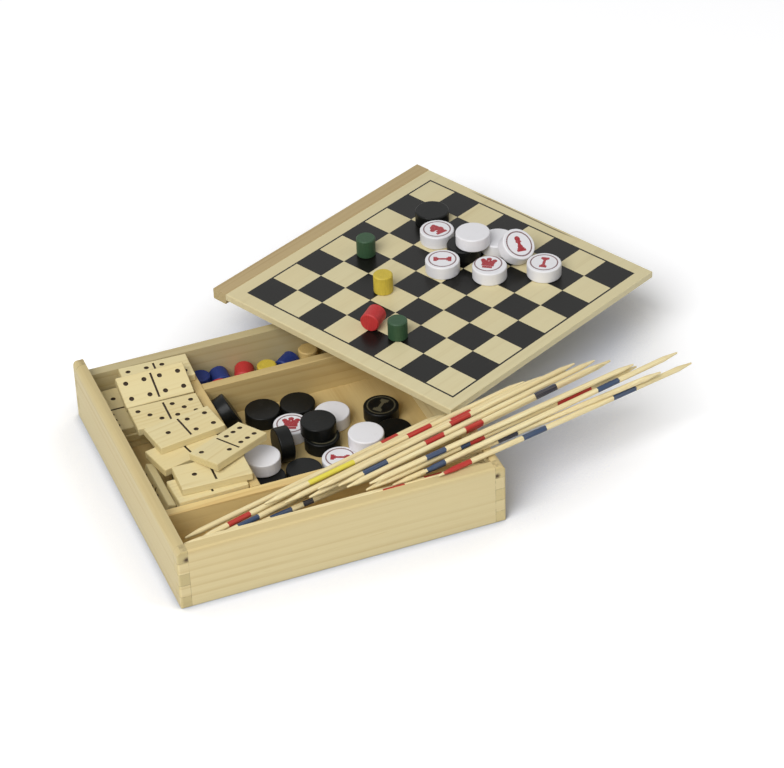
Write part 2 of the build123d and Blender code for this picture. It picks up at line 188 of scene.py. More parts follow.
# ---------------------------------------------------------------- shader nodes
class Finish:
    """Adds and links the nodes of one material."""

    def __init__(self, name):
        self.material = bpy.data.materials.new(name)
        self.material.use_nodes = True
        self.tree = self.material.node_tree
        self.tree.nodes.clear()
        self.shader = self.node("ShaderNodeBsdfPrincipled")
        result = self.node("ShaderNodeOutputMaterial")
        self.tree.links.new(self.shader.outputs[0], result.inputs[0])
        texture = self.node("ShaderNodeTexCoord")
        self.object = texture.outputs["Object"]
        self.normal = texture.outputs["Normal"]

    def node(self, kind, **settings):
        """A new node with these properties."""
        made = self.tree.nodes.new(kind)
        for key, value in settings.items():
            setattr(made, key, value)
        return made

    def put(self, socket, value):
        """Link a socket to another, or write a plain value in it."""
        if isinstance(value, bpy.types.NodeSocket):
            self.tree.links.new(value, socket)
        elif hasattr(socket.default_value, "__len__") and len(socket.default_value) == 4:
            socket.default_value = (*tuple(value)[:3], 1.0)
        else:
            socket.default_value = value

    def math(self, operation, a, b=0.0, c=0.0):
        """One step of arithmetic."""
        made = self.node("ShaderNodeMath", operation=operation)
        for socket, value in zip(made.inputs, (a, b, c)):
            self.put(socket, value)
        return made.outputs[0]

    def vector(self, operation, a, b=(0, 0, 0)):
        """One step of vector arithmetic."""
        made = self.node("ShaderNodeVectorMath", operation=operation)
        self.put(made.inputs[0], a)
        self.put(made.inputs[1], b)
        return made.outputs["Value" if operation in ("LENGTH", "DISTANCE") else "Vector"]

    def parts(self, vector):
        """The three parts of a vector."""
        made = self.node("ShaderNodeSeparateXYZ")
        self.put(made.inputs[0], vector)
        return made.outputs

    def join(self, x, y, z):
        """A vector from its parts."""
        made = self.node("ShaderNodeCombineXYZ")
        for socket, value in zip(made.inputs, (x, y, z)):
            self.put(socket, value)
        return made.outputs[0]

    def blend(self, factor, a, b, mode="MIX"):
        """Colour a turning to colour b as factor goes from 0 to 1."""
        made = self.node("ShaderNodeMix", data_type="RGBA", blend_type=mode)
        self.put(made.inputs[0], factor)
        self.put(made.inputs[6], a)
        self.put(made.inputs[7], b)
        return made.outputs[2]

    def ease(self, value, low, high, start=0.0, end=1.0):
        """A smooth step from start to end as value goes from low to high."""
        made = self.node("ShaderNodeMapRange", interpolation_type="SMOOTHSTEP")
        for socket, given in zip(made.inputs, (value, low, high, start, end)):
            self.put(socket, given)
        return made.outputs[0]

    def noise(self, where, scale, detail=2.0, rough=0.5, seed=0.0):
        """Noise with its own scale along each axis, from 0 to 1."""
        stretched = self.vector("MULTIPLY", where, scale)
        made = self.node("ShaderNodeTexNoise", noise_dimensions="4D")
        self.put(made.inputs["Vector"], stretched)
        self.put(made.inputs["W"], seed)
        self.put(made.inputs["Scale"], 1.0)
        self.put(made.inputs["Detail"], detail)
        self.put(made.inputs["Roughness"], rough)
        return made.outputs[0]

    def local(self, place=Matrix.Identity(4), source=None):
        """Object coordinates seen from a piece's own frame, in millimetres."""
        made = self.node("ShaderNodeMapping", vector_type="TEXTURE")
        self.put(made.inputs["Vector"], source or self.object)
        made.inputs["Location"].default_value = place.to_translation() * MM
        made.inputs["Rotation"].default_value = place.to_euler("XYZ")
        made.inputs["Scale"].default_value = (MM, MM, MM)
        return made.outputs[0]

    def facing(self, place=Matrix.Identity(4)):
        """The surface's direction seen from a piece's own frame."""
        made = self.node("ShaderNodeMapping", vector_type="TEXTURE")
        self.put(made.inputs["Vector"], self.normal)
        made.inputs["Rotation"].default_value = place.to_euler("XYZ")
        return made.outputs[0]

    def inside(self, where, half):
        """1 inside a block of these half sizes round the frame's origin."""
        x, y, z = self.parts(self.vector("ABSOLUTE", self.vector("DIVIDE", where, half)))
        return self.math("LESS_THAN", self.math("MAXIMUM", self.math("MAXIMUM", x, y), z), 1.0)

    def between(self, value, low, high):
        """1 where value lies from low to high."""
        return self.math("MULTIPLY", self.math("GREATER_THAN", value, low),
                         self.math("LESS_THAN", value, high))

    def either(self, masks):
        """The highest of several masks."""
        result = masks[0]
        for mask in masks[1:]:
            result = self.math("MAXIMUM", result, mask)
        return result

    def bump(self, height, depth):
        """Relief of this depth in metres."""
        made = self.node("ShaderNodeBump")
        self.put(made.inputs["Height"], height)
        made.inputs["Distance"].default_value = depth
        made.inputs["Strength"].default_value = 1.0
        self.tree.links.new(made.outputs[0], self.shader.inputs["Normal"])

    def surface(self, **values):
        """Write or link the shader's own sockets, named with _ for a space."""
        for key, value in values.items():
            self.put(self.shader.inputs[key.replace("_", " ")], value)

    def paint(self, *nodes):
        """Put this finish in every slot of these CAD nodes."""
        for name in nodes:
            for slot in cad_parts[name].material_slots:
                slot.material = self.material


def timber(finish, where, light, dark, gap, seed, pith=(28.0, -34.0), slope=0.02, wave=3.0,
           tint=(1.0, 0.955, 0.90)):
    """Softwood with its fibres along X: growth rings round a far-off pith, fibres and slow
    changes of tone. Returns the colour, how dark the fibres are, and the relief."""
    wander = finish.noise(where, (0.008, 0.05, 0.05), 1.0, 0.5, seed)
    x, y, z = finish.parts(where)
    bend = finish.math("MULTIPLY_ADD", wander, 2 * wave, -wave)
    across = finish.math("ADD", finish.math("ADD", y, pith[0]), bend)
    through = finish.math("MULTIPLY_ADD", x, slope, finish.math("ADD", z, pith[1]))
    radius = finish.vector("LENGTH", finish.join(0.0, across, through))
    saw = finish.math("FRACT", finish.math("DIVIDE", radius, gap))
    late = finish.math("MULTIPLY", finish.ease(saw, 0.25, 0.9),
                       finish.ease(saw, 0.9, 1.0, 1.0, 0.0))
    patchy = finish.noise(where, (0.006, 0.14, 0.14), 2.0, 0.5, seed + 17.9)
    late = finish.math("MULTIPLY", late, finish.ease(patchy, 0.38, 0.66, 0.1, 1.0))
    coarse = finish.noise(where, (0.012, 0.9, 0.9), 3.0, 0.6, seed + 3.1)
    fine = finish.noise(where, (0.04, 4.5, 4.5), 2.0, 0.6, seed + 7.7)
    slow = finish.noise(where, (0.008, 0.035, 0.035), 1.0, 0.5, seed + 11.3)
    depth = finish.math("MULTIPLY_ADD", late, 0.42,
                        finish.math("MULTIPLY_ADD", coarse, 0.8, -0.34))
    depth = finish.math("MULTIPLY_ADD", fine, 0.22, finish.math("ADD", depth, -0.07))
    shade = finish.blend(finish.ease(depth, 0.0, 1.0), light, dark)
    fleck = finish.noise(where, (0.09, 1.4, 1.4), 1.0, 0.5, seed + 23.7)
    shade = finish.blend(finish.ease(fleck, 0.70, 0.80, 0.0, 0.45), shade, dark)
    warm = finish.ease(slow, 0.35, 0.7, 0.0, 0.5)
    shade = finish.blend(warm, shade, tint, "MULTIPLY")
    relief = finish.math("MULTIPLY_ADD", late, 0.25, finish.math("ADD", fine, coarse))
    return shade, fine, relief


GRAIN = {
    "X": Matrix.Identity(4),
    "Y": turn("Z", 90),
}


def end_mask(finish, place):
    """1 where the surface is cut across the fibres of a piece with this frame."""
    across = finish.parts(finish.vector("ABSOLUTE", finish.facing(place)))[0]
    return finish.ease(across, 0.55, 0.8)


def bare_wood(finish, where, place, tones, settings, seed, gap=None, **figure):
    """Unvarnished timber with end grain. Returns its colour and relief."""
    light, dark = tones
    shade, fine, relief = timber(
        finish, where, light, dark, gap or settings.ring_gap / MM, seed, **figure)
    ends = end_mask(finish, place)
    specks = finish.noise(where, (1.2, 1.6, 1.6), 3.0, 0.7, seed + 5.0)
    cut = finish.blend(finish.ease(specks, 0.35, 0.7), settings.end_grain, dark)
    shade = finish.blend(finish.math("MULTIPLY", ends, 0.6), shade, cut)
    relief = finish.math("ADD", relief, finish.math("MULTIPLY", ends, specks))
    finish.surface(Roughness=finish.math("MULTIPLY_ADD", fine, 0.18, 0.46),
                   Specular_IOR_Level=0.35)
    return shade, relief


def wooden(name, place, tones, wood, seed, gap=None, marks=(), **figure):
    """Give one node bare timber, with the marks that these functions add to its colour."""
    finish = Finish(name)
    shade, relief = bare_wood(finish, finish.local(place), place, tones, wood, seed, gap, **figure)
    for mark in marks:
        shade = mark(finish, shade)
    finish.surface(Base_Color=shade)
    finish.bump(relief, wood.fibre_depth)
    finish.paint(name)


# ---------------------------------------------------------------- stage
class GAMESBOX_OT_stage(bpy.types.Operator):
    """Floor, soft lights, white surroundings and the camera"""
    bl_idname = "gamesbox.stage"
    bl_label = "Stage"

    def execute(self, context):
        settings = context.scene.games_stage
        self.floor(context, settings)
        self.light("stage_key", (-1.15, -0.95, 1.65), 1.7, settings.key)
        self.light("stage_fill", (1.5, -0.9, 1.3), 1.2, settings.fill)
        self.world(context, settings)
        self.camera(context, settings)
        context.scene.view_settings.view_transform = "Standard"
        return {"FINISHED"}

    def floor(self, context, settings):
        """A pale plane with painted shade, darker and bluer where pieces stand near it and darker
        still right under them, and white far out.
        """
        bpy.ops.object.select_all(action="DESELECT")
        bpy.ops.mesh.primitive_plane_add(size=FLOOR_SIDE, location=(0, 0, 0))
        floor = context.object
        floor.name = "stage_floor"
        pale = Finish("stage_floor")
        mottle = pale.noise(pale.object, (9.0, 9.0, 9.0), 2.0)
        paint = pale.blend(pale.math("MULTIPLY", mottle, 0.01), settings.floor, (0.9, 0.9, 0.9))
        # painted shadow: the floor's colour is darkened where pieces hide the sky, and more right
        # under their feet
        sky = self.open_sky(pale, SHADED_OVER)
        foot_shadow = pale.ease(self.open_sky(pale, FOOT_SHADOW_OVER), 0.5, 0.9, 0.6, 0.0)
        paint = pale.blend(pale.ease(sky, 0.42, 0.76, 1.0, 0.0), paint, SHADED, "MULTIPLY")
        paint = pale.blend(foot_shadow, paint, FOOT_SHADOW, "MULTIPLY")
        pale.surface(Base_Color=paint, Roughness=0.9, Specular_IOR_Level=0.0)
        # the white lift is held back near pieces and under them, so the painted shade there stays
        # dark
        far = pale.ease(pale.vector("LENGTH", pale.object), 0.6, 2.0)
        lift = pale.either([pale.ease(sky, 0.72, 1.0, 0.0, LIFT), far])
        self.show_white(pale, pale.math("MULTIPLY", lift, pale.math("SUBTRACT", 1.0, foot_shadow)))
        floor.data.materials.append(pale.material)

    def open_sky(self, finish, reach):
        """How far a spot of floor lies open to the sky: 1 where nothing stands within reach."""
        cover = finish.node("ShaderNodeAmbientOcclusion", samples=8)
        cover.inputs["Distance"].default_value = reach
        return cover.outputs["AO"]

    def show_white(self, finish, amount):
        """Lift what the camera and mirrors see of a stage surface towards white."""
        rays = finish.node("ShaderNodeLightPath")
        seen = finish.either([rays.outputs["Is Camera Ray"], rays.outputs["Is Glossy Ray"],
                              rays.outputs["Is Transmission Ray"]])
        finish.surface(Emission_Color=WHITE,
                       Emission_Strength=finish.math("MULTIPLY", seen, amount))

    def light(self, name, place, size, power):
        """A round soft lamp that points at the pieces."""
        bpy.ops.object.light_add(type="AREA", location=place)
        lamp = bpy.context.object
        lamp.name = name
        lamp.data.shape = "DISK"
        lamp.data.size = size
        lamp.data.energy = power
        towards = Vector(AIM) - Vector(place)
        lamp.rotation_euler = towards.to_track_quat("-Z", "Y").to_euler()

    def world(self, context, settings):
        """White where the camera, a mirror or glass shows it, and an even dim light besides."""
        world = bpy.data.worlds.new("stage_world")
        context.scene.world = world
        world.use_nodes = True
        tree = world.node_tree
        tree.nodes.clear()
        rays = tree.nodes.new("ShaderNodeLightPath")
        seen = rays.outputs["Is Camera Ray"]
        for kind in ("Is Transmission Ray", "Is Glossy Ray"):
            highest = tree.nodes.new("ShaderNodeMath")
            highest.operation = "MAXIMUM"
            tree.links.new(seen, highest.inputs[0])
            tree.links.new(rays.outputs[kind], highest.inputs[1])
            seen = highest.outputs[0]
        mix = tree.nodes.new("ShaderNodeMixShader")
        tree.links.new(seen, mix.inputs[0])
        for slot, strength in ((1, settings.ambient), (2, 1.0)):
            glow = tree.nodes.new("ShaderNodeBackground")
            glow.inputs["Color"].default_value = (*WHITE, 1.0)
            glow.inputs["Strength"].default_value = strength
            tree.links.new(glow.outputs[0], mix.inputs[slot])
        result = tree.nodes.new("ShaderNodeOutputWorld")
        tree.links.new(mix.outputs[0], result.inputs[0])

    def camera(self, context, settings):
        """A long lens from the front left and above."""
        bpy.ops.object.camera_add()
        camera = context.object
        camera.name = "stage_camera"
        right = Vector((0.92929, -0.36808, -0.03064))
        up = Vector((0.23981, 0.53819, 0.80799))
        back = Vector((-0.28091, -0.75820, 0.58840))
        turned = Matrix((right, up, back)).transposed().to_4x4()
        camera.matrix_world = at(-0.38838, -1.21677, 0.98018) @ turned
        camera.data.sensor_width = 36.0
        camera.data.sensor_fit = "HORIZONTAL"
        camera.data.lens = settings.lens
        camera.data.clip_end = 30.0
        context.scene.camera = camera


# ---------------------------------------------------------------- tray
class GAMESBOX_OT_tray(bpy.types.Operator):
    """Pale softwood for the tray's walls, base and dividers, and dull steel for its nails"""
    bl_idname = "gamesbox.tray"
    bl_label = "Tray"

    def execute(self, context):
        wood, paint = context.scene.games_timber, context.scene.games_paint
        # node, direction of the grain, seed, pith of the rings and tone; the tone is painted light
        # and shade, a wall darkened or lightened for the light that falls on it
        walls = (("front_wall", "X", 1.0, (102.0, -66.0), 1.0),
                 ("rear_wall", "X", 4.0, (-102.0, -66.0), 0.79),
                 ("left_wall", "Y", 7.0, (-104.0, -60.0), 0.86),
                 ("right_wall", "Y", 12.0, (102.0, -64.0), 1.08))
        for name, grain, seed, pith, tone in walls:
            marks = [lambda finish, shade: self.crest(finish, shade, wood)]
            if grain == "Y":
                marks.insert(0, lambda finish, shade: self.nail_stain(finish, shade, wood))
            # the tone paints the wall's light and shade into both of its colours
            wooden(name, GRAIN[grain], (dim(wood.tray_light, tone), dim(wood.tray_dark, tone)),
                   wood, seed, marks=marks, pith=pith)
        # the same, with the ring gap before the pith; the tone again is painted light and shade
        boards = (("base_panel", "Y", 20.0, 8.0, (24.0, -60.0), 0.9),
                  ("stick_divider", "X", 23.0, 5.5, (58.0, -52.0), 1.2),
                  ("domino_divider", "Y", 29.0, 6.0, (-45.0, -52.0), 1.0),
                  ("token_divider", "X", 31.0, 5.0, (-72.0, -48.0), 0.89))
        for name, grain, seed, gap, pith, tone in boards:
            marks = []
            if name == "stick_divider":
                spot = (-50.6, -45.0, 12.2)
                marks.append(lambda finish, shade: self.knot(finish, shade, spot, wood))
            # the tone paints the board's light and shade into both of its colours
            wooden(name, GRAIN[grain], (dim(wood.inner_light, tone), dim(wood.inner_dark, tone)),
                   wood, seed, gap, marks, pith=pith)
        self.nails(paint, wood)
        return {"FINISHED"}

    def crest(self, finish, shade, wood):
        """A browner upper edge, and dark lines in the corner joints."""
        height = finish.parts(finish.local())[2]
        warm = finish.ease(height, WALL_H - 4.5, WALL_H - 0.5, 0.0, 0.7)
        shade = finish.blend(warm, shade, (0.95, 0.90, 0.80), "MULTIPLY")
        return finish.blend(self.joints(finish), shade, wood.stain_and_shadow)

    def nail_stain(self, finish, shade, wood):
        """Wood darkened round the two front nails."""
        x, y, z = finish.parts(finish.local())
        near = finish.join(finish.math("SUBTRACT", finish.math("ABSOLUTE", x), HALF_X - NAIL_IN),
                           0.0, finish.math("SUBTRACT", z, WALL_H - NAIL_DOWN))
        ragged = finish.noise(finish.local(), (0.8, 0.8, 0.8), 2.0)
        distance = finish.math("MULTIPLY_ADD", ragged, 1.4, finish.vector("LENGTH", near))
        stain = finish.math("MULTIPLY", finish.math("LESS_THAN", y, 1.0 - HALF_Y),
                            finish.ease(distance, 1.4, 3.2, 0.75, 0.0))
        return finish.blend(stain, shade, wood.stain_and_shadow)

    def joints(self, finish):
        """Thin dark glue lines where the corner fingers meet."""
        x, y, z = finish.parts(finish.vector("ABSOLUTE", finish.local()))
        corners, seams = [], []
        for value, seam in ((x, HALF_X - WALL_T), (y, HALF_Y - WALL_T)):
            corners.append(finish.math("GREATER_THAN", value, seam - 0.25))
            off = finish.math("ABSOLUTE", finish.math("SUBTRACT", value, seam))
            seams.append(finish.ease(off, 0.1, 0.26, 1.0, 0.0))
        step = finish.math("FRACT", finish.math("MULTIPLY_ADD", z, 1 / FINGER, 0.5))
        step = finish.math("ABSOLUTE", finish.math("SUBTRACT", step, 0.5))
        level = finish.ease(step, 0.018, 0.034, 1.0, 0.0)
        lines = finish.math("MULTIPLY", finish.math("MULTIPLY", *corners),
                            finish.either([level, *seams]))
        patches = finish.noise(finish.local(), (0.5, 0.5, 0.5), 2.0)
        return finish.math("MULTIPLY", lines, finish.ease(patches, 0.35, 0.65, 0.05, 0.38))

    def knot(self, finish, shade, spot, wood):
        """A small dark knot that fades out at its ragged rim."""
        offset = finish.vector("SUBTRACT", finish.local(), spot)
        distance = finish.vector("LENGTH", finish.vector("MULTIPLY", offset, (0.55, 1.0, 1.0)))
        rim = finish.noise(finish.local(), (0.9, 0.9, 0.9), 2.0)
        distance = finish.math("MULTIPLY_ADD", rim, 1.2, finish.math("SUBTRACT", distance, 0.6))
        return finish.blend(finish.ease(distance, 0.4, 2.0, 0.75, 0.0), shade, wood.stain_and_shadow)

    def nails(self, paint, wood):
        """Dull steel with darker pits."""
        finish = Finish("corner_nails")
        pits = finish.noise(finish.local(), (2.2, 2.2, 2.2), 3.0, 0.6)
        finish.surface(Base_Color=finish.blend(finish.ease(pits, 0.35, 0.7), paint.nail, wood.stain_and_shadow),
                       Metallic=0.7, Roughness=finish.math("MULTIPLY_ADD", pits, 0.3, 0.35))
        finish.bump(pits, 0.00005)
        finish.paint("corner_nails")


# ---------------------------------------------------------------- lid
class GAMESBOX_OT_lid(bpy.types.Operator):
    """Varnished board with the chessboard print, and its pull strip"""
    bl_idname = "gamesbox.lid"
    bl_label = "Lid"

    def execute(self, context):
        wood, ink = context.scene.games_timber, context.scene.games_print
        place = at(*LID_AT, 0) @ turn("Z", LID_YAW)
        self.board(place, wood, ink)
        wooden("lid_strip", place, (wood.strip_light, wood.strip_dark), wood, 47.0, 3.2)
        return {"FINISHED"}

    def board(self, place, wood, ink):
        """Varnished timber with the printed squares, a little glossier and smoother where the ink
        lies.
        """
        finish = Finish("lid_board")
        where = finish.local(place)
        shade, fine, relief = timber(finish, where, wood.lid_light, wood.lid_dark, 8.0, 40.0,
                                     (60.0, -70.0), 0.03)
        ends = end_mask(finish, place)
        shade = finish.blend(finish.math("MULTIPLY", ends, 0.5), shade, wood.lid_dark)
        # painted shadow line along the lid's far edge
        shade = self.edge_step_shadow(finish, where, shade, wood)
        printed = self.squares(finish, where, ink)
        faded = finish.math("MULTIPLY", printed, finish.ease(fine, 0.1, 0.35, 0.93, 1.0))
        finish.surface(
            Base_Color=finish.blend(faded, shade, ink.board_ink),
            Roughness=finish.math("MULTIPLY_ADD", printed, -0.10, 0.40),
            Specular_IOR_Level=0.18, Coat_Weight=0.05, Coat_Roughness=0.16)
        filled = finish.math("MULTIPLY_ADD", printed, -0.6, 1.0)
        finish.bump(finish.math("MULTIPLY", relief, filled), 0.00003)
        finish.paint("lid_board")

    def edge_step_shadow(self, finish, where, shade, wood):
        """A dark line along the board's edge away from the tray: painted shadow of a rebate step
        along that edge.
        """
        x, y, _ = finish.parts(where)
        drift = finish.noise(where, (0.02, 0.03, 0.03), 2.0)
        off = finish.math("SUBTRACT", finish.math("MULTIPLY_ADD", drift, 1.6, x), 161.1)
        thin = finish.ease(finish.math("ABSOLUTE", off), 0.25, 0.75, 0.8, 0.0)
        span = finish.math("MULTIPLY", finish.ease(y, -110.0, -92.0),
                           finish.ease(y, -40.0, -24.0, 1.0, 0.0))
        return finish.blend(finish.math("MULTIPLY", thin, span), shade, wood.stain_and_shadow)

    def squares(self, finish, where, ink):
        """1 where black ink lies on the lid's top: 32 squares and a thin line round them."""
        side = ink.square / MM
        whole = 8 * side
        rough = finish.noise(where, (2.0, 2.0, 2.0), 2.0)
        x, y, z = finish.parts(where)
        x = finish.math("ADD", x, finish.math("MULTIPLY_ADD", rough, 0.12, -PRINT_IN[0]))
        y = finish.math("SUBTRACT", finish.math("MULTIPLY_ADD", rough, 0.12, -PRINT_IN[1]), y)
        column = finish.math("FLOOR", finish.math("DIVIDE", x, side))
        row = finish.math("FLOOR", finish.math("DIVIDE", y, side))
        odd = finish.math("MODULO", finish.math("ADD", column, row), 2.0)
        board = finish.math("MULTIPLY", finish.between(x, 0.0, whole), finish.between(y, 0.0, whole))
        line = ink.border / MM
        outline = finish.math("MULTIPLY", finish.between(x, -line, whole + line),
                              finish.between(y, -line, whole + line))
        black = finish.math("MULTIPLY", board, finish.math("LESS_THAN", odd, 0.5))
        border = finish.math("SUBTRACT", outline, board)
        top = finish.math("GREATER_THAN", z, ON_LID - 0.2)
        return finish.math("MULTIPLY", top, finish.either([black, border]))


# ---------------------------------------------------------------- dominoes
def tiles(node):
    """The frames of the dominoes in one node, at the middle of each tile."""
    front_x, front_y = -52.9, -28.5
    rail_top = FLOOR + TILE_W
    on_rails = rail_top + TILE_T
    pile_yaws = (1.0, -1.5, 0.5, -0.5, 1.5, -2.0)
    prop_yaws = (24.0, 27.0, 25.5, 23.0, 26.5, 28.0, 25.0, 26.0)
    back = ((64.65, 90.4), (64.05, 89.3), (64.85, 90.6))
    steep, gap = 71.5, 0.65
    leaner_x = front_x - TILE_L / 2 - gap - TILE_W * cos(radians(steep))
    frames = {
        "dominoes_front_pile": [
            lay(front_x, front_y, FLOOR + TILE_T * k, pile_yaws[k]) for k in range(5)],
        "domino_pile_top": [lay(front_x + 4.0, front_y + 3.5, FLOOR + TILE_T * 5, pile_yaws[5])],
        "domino_leaning": [lean(TILE_W / 2, leaner_x, -17.0, FLOOR, 0, steep) @ turn("Z", 90)],
        "dominoes_on_edge": [
            at(x, y, FLOOR) @ turn("Y", -90) @ at(TILE_W / 2, 0, 0) @ turn("Z", 90)
            for x in (-57.9, -36.6) for y in (5.5, 49.5)],
        "dominoes_back_stack": [
            lay(-73.2, y, FLOOR + TILE_T * k, yaw) for k, (y, yaw) in enumerate(back)],
        "domino_crossing": [lay(-54.6, 1.6, rail_top, 13.0)],
        "domino_one_four": [lay(-51.2, 13.6, on_rails, 9.0)],
        "domino_three_five": [lay(-53.6, 36.8, rail_top, -1.5)],
        "domino_four_two": [lay(-47.6, 73.5, 23.85, -3.0) @ turn("Y", -0.8)],
        "domino_double_four": [
            lean(TILE_W / 2, -53.6, 49.6, rail_top + TOUCH, 90, 20.6) @ turn("Z", -90)],
        "domino_two_six": [
            at(-35.2, -12.0, FLOOR + TILE_T * 6 - 0.2) @ turn("X", -6.5) @ turn("Z", 28.5)],
        "domino_prop_stack": [lay(151.0, 133.0, TILE_T * k, prop_yaws[k]) for k in range(8)],
    }
    middle = at(0, 0, TILE_T / 2)
    return [place @ middle for place in frames[node]]


class GAMESBOX_OT_dominoes(bpy.types.Operator):
    """Pale wood with dark pips and centre lines for every domino"""
    bl_idname = "gamesbox.dominoes"
    bl_label = "Dominoes"

    nodes = ("dominoes_front_pile", "domino_pile_top", "domino_leaning", "dominoes_on_edge",
             "domino_crossing", "domino_one_four", "domino_three_five", "domino_four_two",
             "domino_double_four", "domino_two_six", "domino_prop_stack", "dominoes_back_stack")

    def execute(self, context):
        wood, ink = context.scene.games_timber, context.scene.games_print
        for number, name in enumerate(self.nodes):
            frames = tiles(name)
            wooden(name, frames[0], (wood.tile_light, wood.tile_dark), wood,
                   60.0 + 3.7 * number, 2.6,
                   [lambda finish, shade: self.recesses(finish, shade, frames, ink)],
                   pith=(14.0 + 2 * number, -22.0), slope=0.08, tint=(1.0, 0.93, 0.80))
        return {"FINISHED"}

    def recesses(self, finish, shade, frames, ink):
        """Every other tile a little darker, and stain in the pips and centre lines."""
        recess, darker = [], []
        for number, place in enumerate(frames):
            where = finish.local(place)
            core = (TILE_L / 2 - 0.5, TILE_W / 2 - 0.5, TILE_T / 2 - 0.12)
            recess.append(finish.inside(where, core))
            if number % 2:
                whole = (TILE_L / 2 + 0.1, TILE_W / 2 + 0.1, TILE_T / 2)
                darker.append(finish.inside(where, whole))
        if darker:
            shade = finish.blend(finish.math("MULTIPLY", finish.either(darker), 0.6), shade,
                                 (0.93, 0.90, 0.84), "MULTIPLY")
        return finish.blend(finish.either(recess), shade, ink.pip_ink)


# ---------------------------------------------------------------- draughtsmen
# Chess figures as discs (x, y, radius) and bars (x, y, half width, half height), in
# millimetres, with the figure's top along +Y.
FIGURES = {
    "pawn": ([(0, 3.1, 1.75), (0, -2.0, 1.7)],
             [(0, 0.4, 1.0, 2.6), (0, 1.3, 1.8, 0.5), (0, -3.1, 2.3, 0.55), (0, -4.1, 2.9, 0.7)]),
    "crown": ([(0, 3.7, 1.35), (-3.0, 2.6, 1.3), (3.0, 2.6, 1.3), (-1.5, 1.2, 1.6),
               (1.5, 1.2, 1.6)],
              [(0, -0.8, 3.2, 1.7), (0, -3.5, 2.6, 0.85), (0, 0.9, 3.6, 0.6)]),
    "horse": ([(-0.4, 1.5, 2.5), (-2.6, 0.2, 1.4), (1.2, -0.7, 2.1), (0.3, 3.7, 1.0)],
              [(0.5, -2.5, 2.4, 1.0), (0.2, -3.9, 3.1, 0.8)]),
    "rook": ([],
             [(0, 0, 0.8, 3.6), (0, 4.1, 2.1, 1.0), (0, -4.1, 2.3, 1.0), (0, 2.9, 1.4, 0.6),
              (0, -2.9, 1.5, 0.6)]),
}

# node: (x, y, figure, direction of the figure's top in degrees, scale)
WHITE_PRINTS = {
    "disc_white_knight": [(135.5, 113.6, "horse", 103.0, 1.1)],
    "disc_white_pawn_near": [(126.6, 83.8, "rook", 156.0, 1.0)],
    "disc_white_crown": [(148.4, 69.2, "crown", 57.0, 1.1)],
    "disc_white_pawn_far": [(177.4, 57.2, "rook", 235.0, 1.0)],
    "discs_white_main": [(24.4, -18.3, "rook", -24.0, 1.0), (10.6, 20.6, "crown", 68.0, 1.15)],
}
BLACK_PRINTS = {
    "discs_black_main": [(22.4, 3.9, "pawn", 75.0, 1.0)],
    "discs_black_right": [(61.6, 16.4, "rook", 42.0, 1.1)],
}


